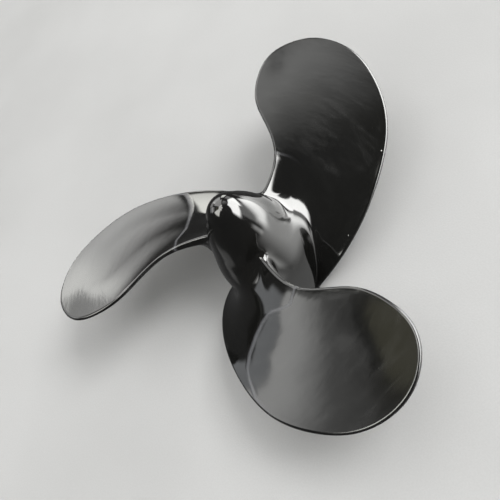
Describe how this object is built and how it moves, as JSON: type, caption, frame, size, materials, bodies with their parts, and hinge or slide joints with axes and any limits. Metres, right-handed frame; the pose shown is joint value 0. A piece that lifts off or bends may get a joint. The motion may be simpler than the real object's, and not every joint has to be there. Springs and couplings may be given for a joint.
{
  "type": "ship propeller",
  "caption": "Small right-hand outboard ship propeller, hub and rounded blades in a single gloss black casting.",
  "frame": {"origin": "centre of the flat blind end of the shaft bore, on the shaft axis", "axes": "+Z along the shaft axis towards the closed nose; the hub's flat front end faces -Z; a blade root generator points along -Y"},
  "size_m": [0.1663, 0.1551, 0.059],
  "materials": {
    "gloss_black_paint": "gloss"
  },
  "bodies": {
    "root": {"propeller_casting": "gloss_black_paint"}
  },
  "joints": []
}
